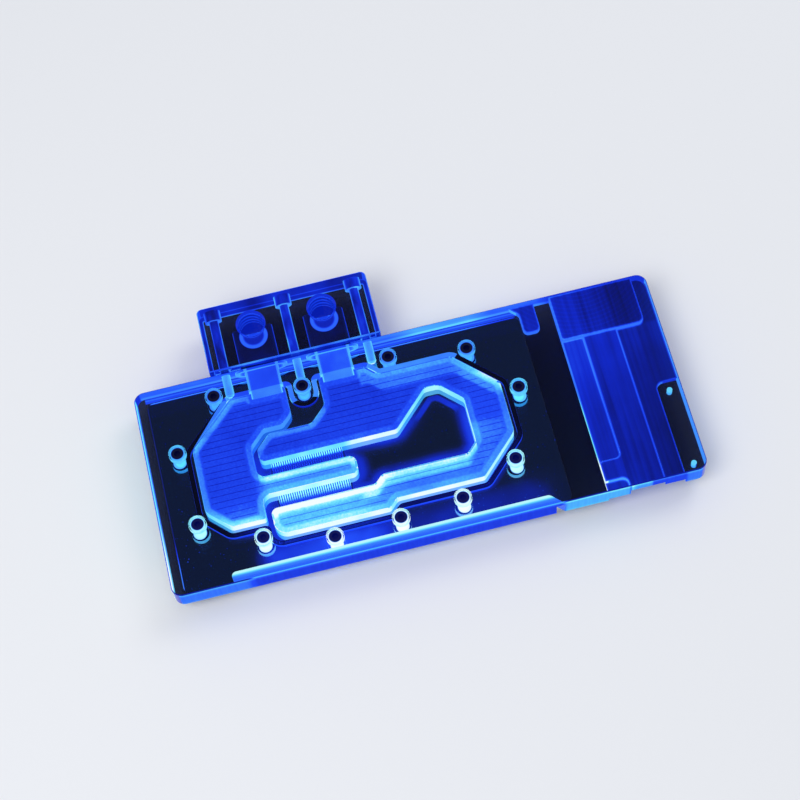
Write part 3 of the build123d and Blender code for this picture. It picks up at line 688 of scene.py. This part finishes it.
def at_far(y):
    return y.step(WIDTH - 1.0, WIDTH - EDGE_BREAK)


def far_face_level(tree, x, z):
    over_plate = x.step(206, 196) * 0.17 + x.between((122, 140), (176, 162)) * 0.14
    foot = z.step(-8.0, -9.5) * 0.09
    return over_plate + foot + mottle(tree, 0.16, 90.0, (0.3, 1, 1)) + 0.44


def near_face_level(tree, x, z):
    strip_ends = x.step(40, 33) * 0.16 + x.step(180, 184) * 0.28 - x.step(212, 214) * 0.24
    notch = x.step(213, 214) * (x.step(224, 223) * 0.20 + x.step(216, 214) * 0.10)
    free_end = x.step(239, 241) * 0.12
    foot_and_top = z.step(-8.5, -10.5) * 0.05 + z.step(-3.0, -0.8) * 0.12
    saw_marks = mottle(tree, 0.09, 700.0, (1, 1, 0.08), detail=3.0)
    return strip_ends + notch + free_end + foot_and_top + saw_marks + 0.49


def edge_level(tree, x, y, z):
    left = at_left(x) * (y.step(45, 12) * 0.12 + 0.88)
    right = at_right(x) * 0.72
    far = at_far(y) * far_face_level(tree, x, z)
    near = at_near(y) * near_face_level(tree, x, z)
    sides = left.most(right).most(far).most(near).most(0.45)
    bevel = at_near(y) * x.between((34, 38), (184, 181)) * 0.46 + at_left(x) * 0.2 + 0.32
    return sides.blend(bevel, z.step(-0.5, -0.35))


outer = (cover.low[:, 0] < OUTER_X) | (cover.high[:, 0] > LENGTH - OUTER_X)
outer |= (cover.high[:, 1] < OUTER_Y) | (cover.low[:, 1] > WIDTH - OUTER_Y)
at_corner = (cover.x < COVER_CORNER) | (cover.x > LENGTH - COVER_CORNER)
at_corner &= (cover.y < COVER_CORNER) | (cover.y > WIDTH - COVER_CORNER)
edges = (outer | at_corner) & ~cover.flat
cover.skin("cover_edges", edges, skin_material("glowing_edge", edge_level))

# Near face: its saw marks stand a hair proud of the glass, so no reflection covers their glow
near_face = edges & (cover.high[:, 1] < OUTER_Y)
sawn_edge = skin_material(
    "sawn_edge", edge_level, linear(0, 0, 8), BARE, roughness=0.8, Specular_IOR_Level=0.08
)
cover.skin("near_face", near_face, sawn_edge, depth=-SKIN_DEPTH)


# Underside of the cover beyond the cold plate, along the far edge and the left one, painted to glow
def border_level(tree, x, y, z):
    left = x.step(2.0, 1.9) * (y.step(45, 12) * 0.20 + 0.08)
    # A painted light line, then painted shade right at the far edge
    lines = y.between((103.3, 103.8), (104.4, 104.0)) * 0.08 - y.step(104.4, 104.8) * 0.10
    return mottle(tree, 0.14, 60.0, (1, 6, 1)) + lines + left + 0.55


far_border = rectangle(COLD_LEFT, COLD_RIGHT, COLD_FAR, WIDTH - EDGE_BREAK)
left_border = rectangle(EDGE_BREAK, 0.9, 3.0, COLD_FAR)
borders = np.concatenate([far_border, left_border])
milled_border = skin_material("milled_border", border_level)
graded_sheet("plain_borders", borders, SKIN_DEPTH - THICK, milled_border)


# Relief pockets at the free end: painted deep blue glow, streaked along the cutter's passes, bright
# rims
def pocket_level(tree, x, y, z):
    regions = x.step(214, 213) * 0.04 - x.step(229, 231) * 0.08
    regions = regions + y.between((30, 78), (83, 81)) * 0.07
    streaks = mottle(tree, 0.24, 420.0, (1, 0.02, 1))
    swirls = plan_reach(x, y, SWIRL_MIDDLE).repeat(SWIRLS_PER_MM, 0.0).step(0.3, 0.0)
    swirls = swirls * y.step(82, 84) * 0.03
    rim = attribute(tree, "rim").step(0.9, 0.2) * 0.24
    return regions + streaks + mottle(tree, 0.12, 40.0) + swirls + rim + 0.32


def pocket_wall_level(tree, x, y, z):
    return x.step(205, 204) * y.step(58, 42) * 0.24 + y.step(22, 17) * 0.10 + 0.64


def pad_hole_level(tree, x, y, z):
    return z * 0.02 + 0.96


in_glass = above_underside & (cover.z < BELOW_TOP)
relief = cover.inside(*RELIEF_AREA) & in_glass & ~edges
pad_holes = cover.near(PAD_HOLES, PAD_HOLE_REACH)
relief_roof = skin_material("relief_roof", pocket_level)
for name, z in POCKETS.items():
    faces = cover.corners[relief & cover.at_level(z) & ~pad_holes]
    graded_sheet(f"relief_{name}", faces, z + SKIN_DEPTH, relief_roof)
relief_walls = relief & ~cover.flat & ~slot_faces & ~pad_holes
cover.skin("relief_walls", relief_walls, skin_material("relief_wall", pocket_wall_level))
cover.skin("pad_holes", relief & pad_holes, skin_material("pad_hole", pad_hole_level))


# Necks, taps and seal grooves towards the port block: painted glow, brighter on upright sides
def neck_level(tree, x, y, z):
    shoulder = y.step(94.2, 93.6) * 0.10
    across_x = -normal_share(tree, "Y") + 1.0
    side = upright(tree) * across_x.most(y.step(99, 100) * 0.6) * 0.30
    for port_x, _ in PORTS:
        side = side.most(x.away_from(port_x).between((6.6, 7.2), (8.6, 8.2)) * 0.17)
    return side + shoulder + x.step(76, 84) * 0.03 + mottle(tree, 0.14, 80.0) + 0.56


def tap_level(tree, x, y, z):
    return upright(tree) * 0.20 + mottle(tree, 0.24, 240.0, (1, 0.3, 1)) + 0.71


def groove_level(tree, x, y, z):
    return strip_light(y, 0.62, 0.34)


taken = channel_walls | bores | slot_faces | edges | relief | cover.at_level(ROOF)
rest = cover.inside(*SEAL_AREA) & in_glass & ~taken
taps = rest & (cover.y > TAPS_FROM) & cover.beside(BLOCK_SCREWS, TAP_REACH)
necks = rest & (cover.y > NECKS_FROM) & ~taps
grooves = rest & (cover.y < NECKS_FROM) & cover.upright
cover.skin("block_taps", taps, skin_material("milled_tap", tap_level))
cover.skin("necks", necks, skin_material("milled_neck", neck_level))
cover.skin("seal_groove", grooves, skin_material("seal_groove", groove_level))


# Top of the cold plate where the cover lies on it: a mirror with painted glow beside the channels
def plate_glow(tree, x, y):
    """Soft light on the plate beside the channels, beside the strip and round the island."""
    rim = attribute(tree, "rim")
    beside = rim.step(9.0, 1.5) * y.step(80, 56) * x.between((24, 40), (174, 162)) * 0.42
    strip = y.step(26, 10) * x.step(34, 50) * (x.step(192, 166) * 0.28 + x.step(112, 92) * 0.26)
    island = x.between((106, 114), (158, 150)) * y.between((54, 64), (82, 78))
    wall_echo = rim.between((2.0, 3.2), (6.4, 5.0)) * island * 0.40
    return beside.most(strip).most(wall_echo) * (mottle(tree, 0.9, 50.0) + 1.0)


def plate_level(tree, x, y, z):
    # Painted highlights along the plate's far and left edges, and painted glints near the strip
    far_line = y.step(COLD_FAR - 1.0, COLD_FAR - 0.7) * (x.step(180, 160) * 0.22 + 0.48)
    left_line = x.step(COLD_LEFT + 0.9, COLD_LEFT + 0.6) * (y.step(34, 14) * 0.46 + 0.22)
    glints = noise(tree, 1500.0, detail=0.0).step(0.80, 0.84) * strip_light(y, 0.64, 0.30)
    glow = plate_glow(tree, x, y).most(far_line).most(left_line).most(glints)
    across = x.between((FIN_LEFT, FIN_LEFT + 0.1), (FIN_RIGHT, FIN_RIGHT - 0.1))
    for near, far, turn, dim in FIN_BANDS:
        grade = y.step(turn, turn + 2.2) * (FIN_BRIGHT - dim) + dim
        glow = glow.most(across * y.between((near - 0.6, near), (far, far - 0.1)) * grade)
    for spot in SCREWS:
        column = squared_reach(x, y, spot, SCREW_STREAK)
        column = column.step(SCREW_SPOT**2, (SCREW_SPOT - 0.5) ** 2)
        glow = glow.most(column * float(strip_light(spot[1], 1.04, 0.70)))
    return glow


plate = Faces("cold_plate")
plate_top = plate.corners[plate.at_level(-THICK)]
# Its blue base colour paints a blue cast on what the mirror reflects; the nickel itself is pale
mirror = skin_material(
    "plate_mirror_painted_light", plate_level, (0.20, 0.42, 0.72), roughness=0.06, Metallic=1.0
)
graded_sheet(
    "plate_face", plate_top, SKIN_DEPTH - THICK, mirror, PLATE_SPACING, roof_faces
)


# Port block: light runs along its outer walls and the sides of its bores, and leaves the rest clear
def block_edge_level(tree, x, y, z):
    rims = z.step(2.2, 3.3) * 0.30 + z.step(-10.3, -10.8) * 0.30
    line = z.between((-9.4, -8.8), (-7.6, -8.4)) * 0.16
    return rims + line + mottle(tree, 0.50, 60.0, (1, 1, 0.3)) + 0.36


def port_level(tree, x, y, z):
    # Painted shade on the ports' level faces and a painted highlight on their lip
    floor = upright(tree).step(0.5, 0.2) * -0.20
    lip = z.step(2.4, 3.2) * (y.step(123, 120) * 0.12 + 0.26)
    threads = z.repeat(THREADS_PER_MM, THREAD_SHIFT).step(0.15, 0.35) * 0.20
    return threads + lip + floor + 0.34


def rod_level(tree, x, y, z):
    side = upright(tree).step(0.2, 0.65) * 0.34
    return side + x.step(60, 80) * 0.08 + mottle(tree, 0.50, 260.0, (1, 0.3, 1)) + 0.32


def duct_level(tree, x, y, z):
    """Walls drawn as thin lines, and the port's own reflection on the roof in front of it."""
    level = upright(tree).step(0.3, 0.8) * 0.40 + mottle(tree, 0.10, 120.0) + 0.14
    for port_x, port_y in PORTS:
        reach = plan_reach(x, y, (port_x, port_y - PORT_ECHO))
        level = level.most(reach.step(7.2, 6.6) * (reach.step(4.2, 5.4) * 0.26 + 0.36))
    return level


block_left, block_right, block_far = BLOCK_WALLS
block_outer = (block.x < block_left) | (block.x > block_right) | (block.y > block_far)
block_outer |= (block.z < BLOCK_FOOT) & ~block.flat
block_outer |= (block.z > BLOCK_TOP - 0.5) & ~block.flat & ~block.near(PORTS, PORT_RIM_REACH)
block_outer |= (block.high[:, 1] < BLOCK_NEAR) & (block.z > 0)
block.skin("block_edges", block_outer & ~block.flat, skin_material("block_edge", block_edge_level))

ports = block.near(PORTS, PORT_REACH) & (block.z > PORT_FLOOR)
ports &= block.low[:, 2] < BLOCK_TOP - 0.1
block.skin("port_walls", ports & ~block_outer, skin_material("port_wall", port_level))

inner = ~block_outer & ~ports & (block.y > BLOCK_NEAR)
inner &= ~block.at_level(BLOCK_TOP) & ~block.at_level(-THICK)
rods = inner & block.beside(BLOCK_SCREWS, ROD_REACH)
block.skin("block_rods", rods, skin_material("block_rod", rod_level))
block.skin("block_ducts", inner & ~rods, skin_material("block_duct", duct_level))


# Floor, light and camera
def stage():
    bpy.ops.mesh.primitive_plane_add(size=FLOOR_SIZE, location=(0, 0, 0))
    floor = bpy.context.object
    floor.name = "floor"
    floor.data.materials.append(plain("floor", linear(*FLOOR_SCREEN_COLOR), roughness=0.9))

    world = bpy.data.worlds.new("studio")
    world.use_nodes = True
    back = world.node_tree.nodes["Background"]
    back.inputs["Color"].default_value = SKY_COLOR
    back.inputs["Strength"].default_value = SKY_STRENGTH
    bpy.context.scene.world = world

    for place, size, power in SOFTBOXES:
        lamp = bpy.data.lights.new("softbox", "AREA")
        lamp.size = size
        lamp.energy = power
        holder = bpy.data.objects.new("softbox", lamp)
        holder.location = place
        holder.rotation_euler = (-Vector(place)).to_track_quat("-Z", "Y").to_euler()
        bpy.context.scene.collection.objects.link(holder)


def camera():
    place = Vector(CAMERA_PLACE) / 1000
    aim = Vector(CAMERA_AIM) / 1000
    eye = bpy.data.cameras.new("camera")
    eye.lens = CAMERA_LENS
    eye.sensor_width = CAMERA_SENSOR
    holder = bpy.data.objects.new("camera", eye)
    holder.matrix_world = (aim - place).to_track_quat("-Z", "Y").to_matrix().to_4x4()
    holder.rotation_euler.rotate_axis("Z", radians(CAMERA_ROLL))
    holder.location = place
    bpy.context.scene.collection.objects.link(holder)
    bpy.context.scene.camera = holder


stage()
camera()
bpy.context.scene.view_settings.view_transform = "Standard"
